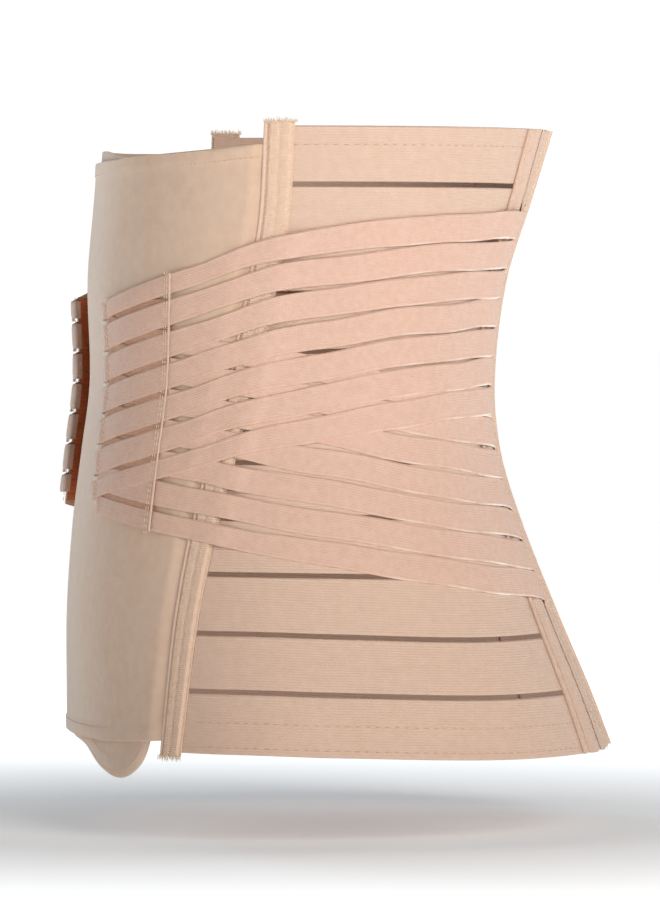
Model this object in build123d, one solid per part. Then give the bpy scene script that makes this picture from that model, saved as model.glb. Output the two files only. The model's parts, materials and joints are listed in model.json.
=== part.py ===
from build123d import *
import math
import os

# Lumbosacral back brace: a wrap-round elastic support belt in its worn shape.
# Millimetres. +Z is up, the front of the body is -Y, the wearer's left is +X.
# The origin is the centre of the waist, where the belt is narrowest.

# ---- the worn shape ----
# height, depth in front of the centre, depth behind it, half the width
WORN_SECTIONS = [
    (-190, 102, 155, 174),
    (-150, 103, 140, 166),
    (-110, 103, 123, 154),
    (-67, 100, 106, 141),
    (-34, 96, 96, 133),
    (0, 92, 93, 130),
    (48, 93, 99, 131),
    (86, 90, 111, 134),
    (125, 87, 123, 138),
]
SQUARENESS = 2.25            # 2 would make each level section an ellipse
SURFACE_TOLERANCE = 0.02     # of a curved face
SEARCH_ROUNDS = 12           # to find where a slanted end meets an edge

# ---- heights of the belt ----
BELT_TOP = 119
BELT_BOTTOM = -170
REAR_SAG = 4                 # how much lower the bottom bands are at the back
FIRST_SAGGING_LINE = 7       # line between two bands, counted from the top, that is still level
SAG_LINES = 2                # lines in which the sag is reached
SAG_START = 70               # angle at which a band starts to sag
SAG_TURN = 60                # degrees in which it does
SLIT = 2.2                   # open gap between two bands
BAND_EDGES = [119, 92, 66.8, 41.5, 14.7, -11, -36.6, -62, -88, -115, -141.5, -170]

# ---- angles round the body, degrees from the front towards a side ----
SIDE_SEAM = [(-175, 47.2), (-81, 55.8), (0, 66.5), (68, 74.6), (122, 75.8)]
BAND_END = 146.6
REAR_PANEL_START = 147.0
REAR_TAPE_ANGLE = 151.5
REAR_SEAM = 158.0            # between the rear side panel and the back panel
REAR_SEAM_GAP = 0.4          # degrees from it to each of them
BACK_STAY_ANGLE = 175.0
LEFT_FLAP_END = -15.0
RIGHT_FLAP_END = 45.0        # how far the inner flap reaches past the middle
CLOSURE_MARGIN = 1.0         # from the outer flap's end to its hook strip
CLOSURE_WIDTH = 9.0          # of the hook strip
CLOSURE_BOTTOM = -150
CLOSURE_TOP = 88

# ---- front panels: height of the edges against the angle ----
OUTER_TOP = [(-16, 104), (10, 104.3), (25, 105.2), (57, 108), (76, 111)]
OUTER_BOTTOM = [(-16, -168), (25, -167.6), (48, -165)]
INNER_TOP = [(-76, 111), (-40, 110), (0, 109.5), (20, 105.5), (32, 102), (46, 98)]
INNER_BOTTOM = [(-48, -165), (0, -168), (12, -170), (22, -178.5), (30, -182),
                (36, -179), (41, -170), (45, -150)]

# ---- thicknesses, and how far the layers stand off the worn shape ----
BAND = 1.2
PANEL = 1.4
STAY = 1.0
TAPE = 0.8
STRIP = 0.9
TAB_STRIP = 0.8
HOOK = 0.6
BINDING = 2.0
TOUCH = 0.3                  # between pieces sewn to each other
CLEAR = 0.4                  # between pieces that move apart
SEAM_GAP = 0.15              # degrees between a seam's line and the cloth on each side of it
OUTER_LIFT = 2.6             # inner face of the outer flap over the inner flap
SEAM_LIFT = 0.4              # inner face of the outer flap beside the side seam
TUCK = 4.0                   # degrees in which the outer flap climbs from one to the other
STAY_LIFT = BAND + TOUCH
TAPE_LIFT = STAY_LIFT + STAY + TOUCH
FAN_STEP = STRIP + 0.3       # from the lower fan to the upper one

# lower face of the lower fan against the angle, one list for each side
LEFT_FAN_LIFT = [(40, 4.4), (74, 4.4), (88, 3.6), (104, 2.2), (134, 2.2),
                 (146, 3.8), (158, 3.8)]
RIGHT_FAN_LIFT = [(18, 3.0), (44, 3.1), (54, 3.6), (88, 3.6), (104, 2.2), (134, 2.2),
                  (146, 3.8), (158, 3.8)]

# ---- fans of tension strips: angle, top edge, bottom edge ----
UPPER_FAN = [(18, 38, -57), (50, 52.5, -45), (66, 61, -37), (82, 70, -31),
             (108, 77, -22), (140, 80, -17), (158, 81, -16)]
LOWER_FAN = [(18, 34, -62), (46, 26, -70), (62, 22, -75), (80, 17, -81.5),
             (96, 10, -87), (118, 3, -95), (140, -1, -100), (158, -4, -104.5)]
STRIP_GAPS = [(18, 1.5), (60, 3.0), (110, 2.2), (158, 2.0)]
STRIPS = 7
END_STRIP = 0.75             # width of the first and last strip at the tab, in strips
FAN_TURN = 90                # degrees behind the tab in which all strips come to one width
FAN_REAR_END = 156.8

# ---- fastening tabs ----
TAB_FRONT = 18.4
TAB_SEAM = [(-66, 45.8), (40, 49.6)]
HOOK_MARGIN = 0.6            # degrees from a tab's front edge to its hook patch
TAB_TOP = 38
TAB_BOTTOM = -59
LEFT_TAB_LIFT = OUTER_LIFT + PANEL + CLEAR
RIGHT_TAB_LIFT = PANEL + 2 * CLEAR
RIGHT_TAB_PEEL = 11.0        # degrees that the right tab stands open at rest

# ---- narrow pieces ----
STAY_WIDTH = 8.0
SIDE_TAPE_WIDTH = 13.5
REAR_TAPE_WIDTH = 13.0
COVER_WIDTH = 16.0
STAY_TOP = 112
STAY_BOTTOM = -164
TAPE_OVERHANG = 2.0          # the side tapes end this far past the bands
BINDING_WIDTH = 1.4          # degrees

# ---- hinge lines ----
HINGE_STANDOFF = 6.0         # the hinge lines of the seams run outside the cloth
TAB_HINGE_STANDOFF = 8.2
MIRROR = Plane.YZ
MM_PER_M = 1000


def smooth(points, at, column=1):
    """Value at a place on a smooth curve through the listed points."""
    last = len(points) - 1
    at = min(max(at, points[0][0]), points[last][0])
    i = 0
    while i < last - 1 and at > points[i + 1][0]:
        i += 1

    def slope(j):
        low, high = max(j - 1, 0), min(j + 1, last)
        return (points[high][column] - points[low][column]) / (points[high][0] - points[low][0])

    span = points[i + 1][0] - points[i][0]
    t = (at - points[i][0]) / span
    return ((2 * t**3 - 3 * t**2 + 1) * points[i][column]
            + (t**3 - 2 * t**2 + t) * span * slope(i)
            + (3 * t**2 - 2 * t**3) * points[i + 1][column]
            + (t**3 - t**2) * span * slope(i + 1))


def eased(share):
    """0 below 0, 1 above 1, and a gentle rise between them."""
    share = min(max(share, 0), 1)
    return share * share * (3 - 2 * share)


def spot(angle, height, lift):
    """Point at an angle and a height, lifted off the worn shape."""
    turn = math.radians(angle)
    side, front = math.sin(turn), math.cos(turn)
    depth = smooth(WORN_SECTIONS, height, 1 if front >= 0 else 2) + lift
    width = smooth(WORN_SECTIONS, height, 3) + lift
    power = 2 / SQUARENESS
    x = width * math.copysign(abs(side) ** power, side)
    y = -depth * math.copysign(abs(front) ** power, front)
    return Vector(x, y, height)


def degrees_for(distance, angle, height):
    """Angle that a short distance round the body covers."""
    step = spot(angle + 0.5, height, 2) - spot(angle - 0.5, height, 2)
    return distance / step.length


def side_seam(height):
    return smooth(SIDE_SEAM, height)


def tab_seam(height):
    return smooth(TAB_SEAM, height)


def cloth(start, end, low, high, lift, thickness, stations, rows=4):
    """Solid of a piece of cloth that follows the worn shape.

    start and end give the angle of its two ends at a height, low and high the height
    of its lower and upper edge at an angle, and lift the height of its inner face over
    the worn shape at an angle and a height. stations are the shares of the way round
    at which its shape is taken.
    """
    inner, outer = [], []
    for share in stations:
        ends = []
        for edge in (low, high):
            angle = start(0) + (end(0) - start(0)) * share
            for _ in range(SEARCH_ROUNDS):
                height = edge(angle)
                angle = start(height) + (end(height) - start(height)) * share
            ends.append(edge(angle))
        bottom, top = ends
        inner_column, outer_column = [], []
        for row in range(rows):
            height = bottom + (top - bottom) * row / (rows - 1)
            angle = start(height) + (end(height) - start(height)) * share
            off = lift(angle, height)
            inner_column.append(spot(angle, height, off))
            outer_column.append(spot(angle, height, off + thickness))
        inner.append(inner_column)
        outer.append(outer_column)
    inside = Face.make_surface_from_array_of_points(inner, tol=SURFACE_TOLERANCE)
    outside = Face.make_surface_from_array_of_points(outer, tol=SURFACE_TOLERANCE)
    walls = []
    for edge in inside.edges():
        across = min(outside.edges(), key=lambda other, e=edge: (other @ 0.5 - e @ 0.5).length)
        walls.append(Face.make_surface_from_curves(edge, across))
    return Solid(Shell([inside, outside, *walls]))


def upright(middle, width, lift, thickness, bottom, top):
    """Solid of a stay or tape that runs up the body and bends with it."""
    def start(height):
        return middle(height) - degrees_for(width / 2, middle(height), height)

    def end(height):
        return middle(height) + degrees_for(width / 2, middle(height), height)

    return cloth(start, end, fixed(bottom), fixed(top), fixed(lift), thickness, even(4), 32)


def even(count):
    return [n / (count - 1) for n in range(count)]


def fixed(value):
    return lambda *_: value


# ---- fans of strips ----

def fan_edge(fan, line, angle):
    """Height of the line between two strips: 0 is the fan's top, STRIPS its bottom."""
    spread = min(max((angle - TAB_FRONT) / FAN_TURN, 0), 1)
    at_tab = min(max((line - 1 + END_STRIP) / (STRIPS - 2 + 2 * END_STRIP), 0), 1)
    share = at_tab + (line / STRIPS - at_tab) * spread
    top, bottom = smooth(fan, angle, 1), smooth(fan, angle, 2)
    return top + (bottom - top) * share


def fan_strips(fan, start, end, lift, thickness, count):
    """All strips of a fan between two seams, as separate solids."""
    strips = []
    for line in range(STRIPS):
        def low(angle, line=line):
            return fan_edge(fan, line + 1, angle) + smooth(STRIP_GAPS, angle) / 2

        def high(angle, line=line):
            return fan_edge(fan, line, angle) - smooth(STRIP_GAPS, angle) / 2

        strips.append(cloth(start, end, low, high, lift, thickness, even(count)))
    return Compound(strips)


def seam_back(height):
    """Side seam, on the side of the bands."""
    return side_seam(height) + SEAM_GAP


def seam_front(height):
    """Side seam, on the side of the front panel."""
    return side_seam(height) - SEAM_GAP


def tab_seam_back(height):
    return tab_seam(height) + SEAM_GAP


def tab_seam_front(height):
    return tab_seam(height) - SEAM_GAP


def fan_parts(fan, lifts, step):
    """The fan's stretch on the side, and its stretch on the front panel."""
    def lift(angle, height):
        return smooth(lifts, angle) + step

    on_side = fan_strips(fan, seam_back, fixed(FAN_REAR_END), lift, STRIP, 12)
    on_front = fan_strips(fan, tab_seam_back, seam_front, lift, STRIP, 4)
    return on_side, on_front


# ---- the side: bands, seam tapes and stays ----

def rear_drop(line):
    """How much lower the line between two bands lies at the back."""
    return REAR_SAG * min(max((line - FIRST_SAGGING_LINE) / SAG_LINES, 0), 1)


def band(number):
    top_gap = SLIT / 2 if number > 0 else 0
    bottom_gap = SLIT / 2 if number < len(BAND_EDGES) - 2 else 0

    def sag(angle):
        return eased((angle - SAG_START) / SAG_TURN)

    def low(angle):
        return BAND_EDGES[number + 1] - rear_drop(number + 1) * sag(angle) + bottom_gap

    def high(angle):
        return BAND_EDGES[number] - rear_drop(number) * sag(angle) - top_gap

    return cloth(seam_back, fixed(BAND_END), low, high, fixed(0), BAND, even(28))


def side_tape_middle(height):
    return side_seam(height) + degrees_for(SIDE_TAPE_WIDTH / 2 + TOUCH, side_seam(height), height)


def side_tape():
    return upright(side_tape_middle, SIDE_TAPE_WIDTH, TAPE_LIFT, TAPE,
                   BELT_BOTTOM - TAPE_OVERHANG, BELT_TOP + TAPE_OVERHANG)


def side_stay():
    return upright(side_tape_middle, STAY_WIDTH, STAY_LIFT, STAY, STAY_BOTTOM, STAY_TOP)


def rear_tape():
    return upright(fixed(REAR_TAPE_ANGLE), REAR_TAPE_WIDTH, TAPE_LIFT, TAPE,
                   BELT_BOTTOM - REAR_SAG, BELT_TOP)


def rear_stay():
    return upright(fixed(REAR_TAPE_ANGLE), STAY_WIDTH, STAY_LIFT, STAY, STAY_BOTTOM, STAY_TOP)


def rear_panel():
    return cloth(fixed(REAR_PANEL_START), fixed(REAR_SEAM - REAR_SEAM_GAP),
                 fixed(BELT_BOTTOM - REAR_SAG), fixed(BELT_TOP), fixed(0), BAND, even(5), 24)


# ---- the back ----

def back_panel():
    return cloth(fixed(REAR_SEAM + REAR_SEAM_GAP), fixed(360 - REAR_SEAM - REAR_SEAM_GAP),
                 fixed(BELT_BOTTOM - REAR_SAG), fixed(BELT_TOP), fixed(0), PANEL, even(11), 24)


def back_stay(angle):
    return upright(fixed(angle), STAY_WIDTH, PANEL + TOUCH, STAY, STAY_BOTTOM, STAY_TOP)


def stay_cover(angle):
    return upright(fixed(angle), COVER_WIDTH, PANEL + STAY + 2 * TOUCH, TAPE,
                   BELT_BOTTOM - REAR_SAG, BELT_TOP)


# ---- the two front panels ----

def outer_lift(angle, height):
    """The outer flap leaves the side seam low and climbs over the inner flap."""
    return SEAM_LIFT + (OUTER_LIFT - SEAM_LIFT) * eased((side_seam(height) - angle) / TUCK)


def outer_panel():
    stations = [n / 12 for n in range(11)] + [0.86, 0.89, 0.92, 0.95, 0.975, 1]
    return cloth(fixed(LEFT_FLAP_END), seam_front, lambda a: smooth(OUTER_BOTTOM, a),
                 lambda a: smooth(OUTER_TOP, a), outer_lift, PANEL, stations, 20)


def outer_binding():
    return cloth(fixed(LEFT_FLAP_END - BINDING_WIDTH), fixed(LEFT_FLAP_END - SEAM_GAP),
                 lambda a: smooth(OUTER_BOTTOM, a), lambda a: smooth(OUTER_TOP, a),
                 fixed(OUTER_LIFT - (BINDING - PANEL) / 2), BINDING, even(3), 20)


def closure_hooks():
    """Hook strip inside the free end of the outer flap."""
    start = LEFT_FLAP_END + CLOSURE_MARGIN
    return cloth(fixed(start), fixed(start + CLOSURE_WIDTH), fixed(CLOSURE_BOTTOM),
                 fixed(CLOSURE_TOP), fixed(PANEL + CLEAR), HOOK, even(4), 20)


def right_seam_front(height):
    return -seam_front(height)


def inner_panel():
    stations = [n / 18 for n in range(17)] + [0.92, 0.95, 0.98, 1]
    return cloth(right_seam_front, fixed(RIGHT_FLAP_END), lambda a: smooth(INNER_BOTTOM, a),
                 lambda a: smooth(INNER_TOP, a), fixed(0), PANEL, stations, 20)


# ---- fastening tabs ----

def tab_hooks(lift):
    return cloth(fixed(TAB_FRONT + HOOK_MARGIN), tab_seam_front, fixed(TAB_BOTTOM), fixed(TAB_TOP),
                 fixed(lift), HOOK, even(6), 8)


def tab_strips(fan, lift):
    return fan_strips(fan, fixed(TAB_FRONT), tab_seam_front, fixed(lift), TAB_STRIP, 5)


# ---- hinge lines, for the description of the joints ----

def hinge_line(name, top, bottom):
    """Prints the middle and the direction of a straight hinge line, in metres."""
    middle = (top + bottom) / 2 / MM_PER_M
    along = (top - bottom).normalized()
    print(name, [round(v, 5) for v in middle], [round(v, 5) for v in along])
    return Axis(bottom, along)


def mirrored(shape):
    return shape.mirror(MIRROR)


def build():
    """Every node's shape by name."""
    nodes = {"back_panel": back_panel()}
    for side, angle in (("left", BACK_STAY_ANGLE), ("right", 360 - BACK_STAY_ANGLE)):
        nodes[f"{side}_back_stay"] = back_stay(angle)
        nodes[f"{side}_stay_cover"] = stay_cover(angle)

    for number in range(len(BAND_EDGES) - 1):
        left = band(number)
        nodes[f"left_band_{number + 1:02d}"] = left
        nodes[f"right_band_{number + 1:02d}"] = mirrored(left)

    pairs = {"rear_side_panel": rear_panel(), "rear_stay": rear_stay(), "rear_tape": rear_tape(),
             "side_stay": side_stay(), "side_tape": side_tape()}
    for name, left in pairs.items():
        nodes[f"left_{name}"] = left
        nodes[f"right_{name}"] = mirrored(left)

    for side, lifts in (("left", LEFT_FAN_LIFT), ("right", RIGHT_FAN_LIFT)):
        for name, fan, step in (("lower", LOWER_FAN, 0), ("upper", UPPER_FAN, FAN_STEP)):
            on_side, on_front = fan_parts(fan, lifts, step)
            if side == "right":
                on_side, on_front = mirrored(on_side), mirrored(on_front)
            nodes[f"{side}_{name}_strips_side"] = on_side
            nodes[f"{side}_{name}_strips_front"] = on_front

    nodes["left_front_panel"] = outer_panel()
    nodes["left_edge_binding"] = outer_binding()
    nodes["left_closure_hooks"] = closure_hooks()
    nodes["right_front_panel"] = inner_panel()

    tab_top = spot(tab_seam(TAB_TOP), TAB_TOP, TAB_HINGE_STANDOFF)
    tab_bottom = spot(tab_seam(TAB_BOTTOM), TAB_BOTTOM, TAB_HINGE_STANDOFF)
    tab_axis = hinge_line("left_tab_peel", tab_top, tab_bottom)
    for side, lift in (("left", LEFT_TAB_LIFT), ("right", RIGHT_TAB_LIFT)):
        layers = {"hooks": tab_hooks(lift),
                  "lower_strips": tab_strips(LOWER_FAN, lift + HOOK + TOUCH),
                  "upper_strips": tab_strips(UPPER_FAN, lift + HOOK + STRIP + 2 * TOUCH)}
        for name, layer in layers.items():
            if side == "right":
                layer = mirrored(layer.rotate(tab_axis, RIGHT_TAB_PEEL))
            nodes[f"{side}_tab_{name}"] = layer
    return nodes


parts = build()
for name, seam in (("left_front_open", side_seam), ("left_side_swing", fixed(REAR_SEAM))):
    hinge_line(name, spot(seam(BELT_TOP), BELT_TOP, HINGE_STANDOFF),
               spot(seam(BELT_BOTTOM), BELT_BOTTOM, HINGE_STANDOFF))

os.makedirs("parts", exist_ok=True)
for name, shape in parts.items():
    export_step(shape, f"parts/{name}.step")
print(len(parts), "nodes")
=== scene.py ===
import json
import math
import random
import bpy
import numpy as np
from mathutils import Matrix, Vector


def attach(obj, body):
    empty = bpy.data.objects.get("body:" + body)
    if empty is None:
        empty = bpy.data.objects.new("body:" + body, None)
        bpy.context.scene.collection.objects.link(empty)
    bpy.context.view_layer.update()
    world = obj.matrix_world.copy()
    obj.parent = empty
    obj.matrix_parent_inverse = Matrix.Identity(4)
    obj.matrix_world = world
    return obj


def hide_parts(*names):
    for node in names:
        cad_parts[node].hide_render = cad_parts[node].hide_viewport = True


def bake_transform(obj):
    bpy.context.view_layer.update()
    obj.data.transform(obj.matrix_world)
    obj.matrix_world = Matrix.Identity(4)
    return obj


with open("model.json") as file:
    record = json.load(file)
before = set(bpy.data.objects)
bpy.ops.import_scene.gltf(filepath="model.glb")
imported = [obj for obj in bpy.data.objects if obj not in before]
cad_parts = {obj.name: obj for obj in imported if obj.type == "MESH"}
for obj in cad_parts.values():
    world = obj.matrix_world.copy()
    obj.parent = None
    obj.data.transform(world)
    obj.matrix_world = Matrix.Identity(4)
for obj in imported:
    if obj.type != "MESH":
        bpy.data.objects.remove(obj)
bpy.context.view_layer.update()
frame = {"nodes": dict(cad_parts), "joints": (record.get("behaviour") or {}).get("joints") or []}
HINGES = {joint["name"]: joint for joint in frame["joints"]}
SIDES = {"left": 1, "right": -1}

# Metres, degrees. +Z is up, the front of the body is -Y, the wearer's left is +X.
# Angles run round the body from the front, towards the side that a piece belongs to.

# ---- the worn shape: height, depth in front of the centre, depth behind it, half the width ----
WORN_SECTIONS = [
    (-0.190, 0.102, 0.155, 0.174),
    (-0.150, 0.103, 0.140, 0.166),
    (-0.110, 0.103, 0.123, 0.154),
    (-0.067, 0.100, 0.106, 0.141),
    (-0.034, 0.096, 0.096, 0.133),
    (0.000, 0.092, 0.093, 0.130),
    (0.048, 0.093, 0.099, 0.131),
    (0.086, 0.090, 0.111, 0.134),
    (0.125, 0.087, 0.123, 0.138),
]
SQUARENESS = 2.25
SEARCH_ROUNDS = 12

# ---- the belt ----
BELT_TOP = 0.119
BELT_BOTTOM = -0.170
REAR_SAG = 0.004
FIRST_SAGGING_LINE = 7
SAG_LINES = 2
SAG_START, SAG_TURN = 70, 60
SLIT = 0.0022
BAND_EDGES = [0.119, 0.092, 0.0668, 0.0415, 0.0147, -0.011, -0.0366, -0.062, -0.088, -0.115, -0.1415, -0.170]
SIDE_SEAM = [(-0.175, 47.2), (-0.081, 55.8), (0, 66.5), (0.068, 74.6), (0.122, 75.8)]
BAND_END = 146.9
REAR_PANEL_START = 146.0
REAR_TAPE_ANGLE = 151.5
REAR_SEAM = 158.0
BACK_STAY_ANGLE = 175.0
LEFT_FLAP_END = -15.0
RIGHT_FLAP_END = 45.0
OUTER_TOP = [(-16, 0.104), (10, 0.1043), (25, 0.1052), (57, 0.108), (76, 0.111)]
OUTER_BOTTOM = [(-16, -0.168), (25, -0.1676), (48, -0.165)]
INNER_TOP = [(-76, 0.111), (-40, 0.110), (0, 0.1095), (20, 0.1055), (32, 0.102), (46, 0.098)]
INNER_BOTTOM = [(-48, -0.165), (0, -0.168), (12, -0.170), (22, -0.1785), (30, -0.182),
                (36, -0.179), (41, -0.170), (45, -0.150)]

# ---- thicknesses, and how far the layers stand off the worn shape ----
BAND = 0.0012
PANEL = 0.0014
TAPE = 0.0005
STRIP = 0.0005
HOOK_BASE = 0.0003
TOUCH = 0.0003
CLEAR = 0.0004
OUTER_LIFT = 0.0026
SEAM_LIFT = 0.0004
TUCK = 4.0
FAN_STEP = STRIP + 0.0002
LEFT_TAB_LIFT = OUTER_LIFT + PANEL + CLEAR
RIGHT_TAB_LIFT = PANEL + 2 * CLEAR
RIGHT_TAB_PEEL = 9.0     # degrees that the right tab stands open at rest; it is 11 in the CAD model

# ---- fans of tension strips: angle, top edge, bottom edge ----
UPPER_FAN = [(18, 0.038, -0.057), (50, 0.0525, -0.045), (66, 0.061, -0.037), (82, 0.070, -0.031),
             (108, 0.077, -0.022), (140, 0.080, -0.017), (158, 0.081, -0.016)]
LOWER_FAN = [(18, 0.034, -0.062), (46, 0.026, -0.070), (62, 0.022, -0.075), (80, 0.017, -0.0815),
             (96, 0.010, -0.087), (118, 0.003, -0.095), (140, -0.001, -0.100), (158, -0.004, -0.1045)]
STRIP_GAPS = [(18, 0.0026), (50, 0.0027), (68, 0.0029), (90, 0.0017), (105, 0.0009), (120, 0.0009),
              (158, 0.0005)]
# inner face of the lower fan: against the degrees behind the side seam, and against the angle at the rear
LEFT_FAN_LIFT = [(-4, 0.00415), (0, 0.0034), (9, 0.0033), (13, 0.0019), (18, 0.00138)]
RIGHT_FAN_LIFT = [(-8, 0.0016), (-3, 0.0022), (1, 0.0033), (9, 0.0033), (13, 0.0019), (18, 0.00138)]
REAR_FAN_LIFT = [(142, 0.00138), (147.5, 0.0033), (154.5, 0.0033), (156.8, 0.0018)]
TAB_STRIP_RISE = 0.0007        # lower strips of a tab over its inner face
TAB_RAMP = 9                   # degrees behind the tab in which the strips climb onto it
STRIPS = 7
END_STRIP = 0.75
FAN_TURN = 90
FAN_REAR_END = 156.8
TAB_FRONT = 18.4
TAB_SEAM = [(-0.066, 45.8), (0.040, 49.6)]
TAB_TOP = 0.038
TAB_BOTTOM = -0.059

# ---- narrow pieces ----
SIDE_TAPE_WIDTH = 0.0135
REAR_TAPE_WIDTH = 0.013
COVER_WIDTH = 0.016
TAPE_ROWS = 190         # of faces up a tape
SEWN_EDGE = 0.0014      # from a tape's edge to its stitches
SEAM_TAPE_WIDTH = 0.009
CENTRE_TAPE_WIDTH = 0.007
TAPE_OVERHANG = 0.002
STRETCH = 1.1          # worn length of the elastic pieces over their cut length
AS_WORN = 1.0          # the same for the sheets that aren't elastic

# ---- cloth, stitches and hooks in detail ----
RIM = 0.0006           # radius of a cloth edge
LINING_STEP = 0.006    # height of the faces on the hidden side of a sheet
THREAD = 0.00022       # radius of a sewing thread
STITCH_PITCH = 0.0027
STITCH = 0.0019
PAINTED_HIGHLIGHT = 0.0011      # width of the painted highlight along a strip's lower edge
PAINTED_HIGHLIGHT_START = (0.09, 0.19)  # distance behind the tab over which the painted highlight comes to show
RIB_PITCH = 0.00125
RIB_DEPTH = 0.00010
HEM = 0.0075
HEM_SEAM = 0.0062
LOOP = 0.0052          # length of the folded end of a strip at the tab's front
FOLD_TURN = 3.2        # degrees that it reaches back on the tab's inner side
STRIP_START = 0.4      # degrees from the tab's front to the first flat part of a strip
SHADED_STRIPS = 5      # lower strips of a tab that lie wholly under the upper ones, in browner cloth as painted shade in the gaps between the upper strips
FOLD_OVERLAP = 0.4     # degrees of it that the lower strips cover
BACKING_TURN = 2.6     # degrees from the tab's front to its backing
PATCH_TURN = 3.4       # and to its hook patch
HOOKS_TURN = 4.4       # and to the small hooks on that
HOOK_PITCH = 0.0021
CLOSURE_BOTTOM, CLOSURE_TOP = -0.150, 0.088     # hook strip inside the outer flap

# ---- where the cloth bends at the joints ----
TAB_BEND = 0.011
TAB_SEAM_BOTTOM, TAB_SEAM_TOP = -0.069, 0.051

# ---- room ----
FLOOR_HEIGHT = -0.212
FLOOR_GLOW = (0.24, 0.90)      # light of the floor near the object, and where it meets the white wall
GLOW_START = (0.20, 0.62)       # distances from the object between which it starts
WORLD_BAND = (0.06, 0.14)      # how far above the horizon the studio's white wall starts and stops to dim
WORLD_LIGHT = (1.05, 0.10)     # light of the wall and of the ceiling
# name, direction from the object (azimuth, elevation), distance, size, power, colour
LAMPS = [
    ("key", 112, 20, 2.4, 1.2, 27.5, (1.0, 0.98, 0.95)),
    ("fill", 86, 12, 3.0, 1.6, 5, (1.0, 0.98, 0.95)),
    ("front_rim", -64, 8, 2.0, 0.6, 15, (0.66, 0.85, 1.0)),
    ("rear_rim", 210, 8, 2.0, 0.6, 9, (0.64, 0.84, 1.0)),
]
LAMP_TARGET = (0, 0, -0.03)
CAMERA_TARGET = (0, 0.0187, -0.0336)
CAMERA_AZIMUTH, CAMERA_ELEVATION = 84, 1.2
CAMERA_DISTANCE = 3.6
LENS, SENSOR = 300, 36          # mm


# ======== shapes ========

def smooth(points, at, column=1):
    """Values at some places on a smooth curve through the listed points."""
    table = np.array(points, float)
    places, values = table[:, 0], table[:, column]
    at = np.clip(at, places[0], places[-1])
    i = np.clip(np.searchsorted(places, at, side="left") - 1, 0, len(places) - 2)
    order = np.arange(len(places))
    low, high = np.maximum(order - 1, 0), np.minimum(order + 1, len(places) - 1)
    slopes = (values[high] - values[low]) / (places[high] - places[low])
    span = places[i + 1] - places[i]
    t = (at - places[i]) / span
    return ((2 * t**3 - 3 * t**2 + 1) * values[i] + (t**3 - 2 * t**2 + t) * span * slopes[i]
            + (3 * t**2 - 2 * t**3) * values[i + 1] + (t**3 - t**2) * span * slopes[i + 1])


def eased(share):
    """0 below 0, 1 above 1, and a gentle rise between them."""
    share = np.clip(share, 0, 1)
    return share * share * (3 - 2 * share)


def spot(angle, height, lift, side=1):
    """Points at some angles and heights, lifted off the worn shape."""
    turn = np.radians(angle)
    across, front = np.sin(turn), np.cos(turn)
    depth = np.where(front >= 0, smooth(WORN_SECTIONS, height, 1), smooth(WORN_SECTIONS, height, 2)) + lift
    width = smooth(WORN_SECTIONS, height, 3) + lift
    power = 2 / SQUARENESS
    x = side * width * np.sign(across) * np.abs(across) ** power
    y = -depth * np.sign(front) * np.abs(front) ** power
    return np.stack(np.broadcast_arrays(x, y, height), axis=-1)


def degrees_for(distance, angle, height):
    """Angle that a short distance round the body covers."""
    step = spot(angle + 0.5, height, 0.002) - spot(angle - 0.5, height, 0.002)
    return distance / np.linalg.norm(step, axis=-1)


def fixed(value):
    return lambda *_: value


def between(low, high):
    """Heights from low to high, for shares from 0 to 1."""
    return lambda share: low + (high - low) * share


def side_seam(height):
    return smooth(SIDE_SEAM, height)


def tab_seam(height):
    return smooth(TAB_SEAM, height)


def patch(start, end, low, high, lift):
    """Places of a piece whose ends are angles at a height, and whose edges are heights at an angle."""
    def place(u, v):
        angle = start(0) + (end(0) - start(0)) * u
        for _ in range(SEARCH_ROUNDS):
            height = low(angle) + (high(angle) - low(angle)) * v
            angle = start(height) + (end(height) - start(height)) * u
        return angle, height, lift(angle, height)
    return place


def shares(count, size):
    """Places from 0 to 1 for a grid's lines, with extra ones where the rim is rounded."""
    rim = min(RIM / size, 0.2)
    return np.concatenate([[0, 0.3 * rim], np.linspace(rim, 1 - rim, count), [1 - 0.3 * rim, 1]])


def make_mesh(name, points, faces, material, flat_places=None, sharp=50):
    mesh = bpy.data.meshes.new(name)
    mesh.from_pydata(np.asarray(points).reshape(-1, 3).tolist(), [], faces)
    if flat_places is not None:
        corners = np.empty(len(mesh.loops), np.int32)
        mesh.loops.foreach_get("vertex_index", corners)
        layer = mesh.uv_layers.new(name="cloth")
        layer.data.foreach_set("uv", np.asarray(flat_places, np.float32)[corners].ravel())
    mesh.materials.append(material)
    mesh.shade_smooth()
    mesh.set_sharp_from_angle(angle=math.radians(sharp))
    mesh.validate()
    obj = bpy.data.objects.new(name, mesh)
    bpy.context.scene.collection.objects.link(obj)
    return obj


def grid_faces(columns, rows, first, flip):
    """Faces of a grid of points that is stored column by column."""
    faces = []
    for i in range(columns - 1):
        for j in range(rows - 1):
            a = first + i * rows + j
            face = (a, a + rows, a + rows + 1, a + 1)
            faces.append(face[::-1] if flip else face)
    return faces


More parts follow.
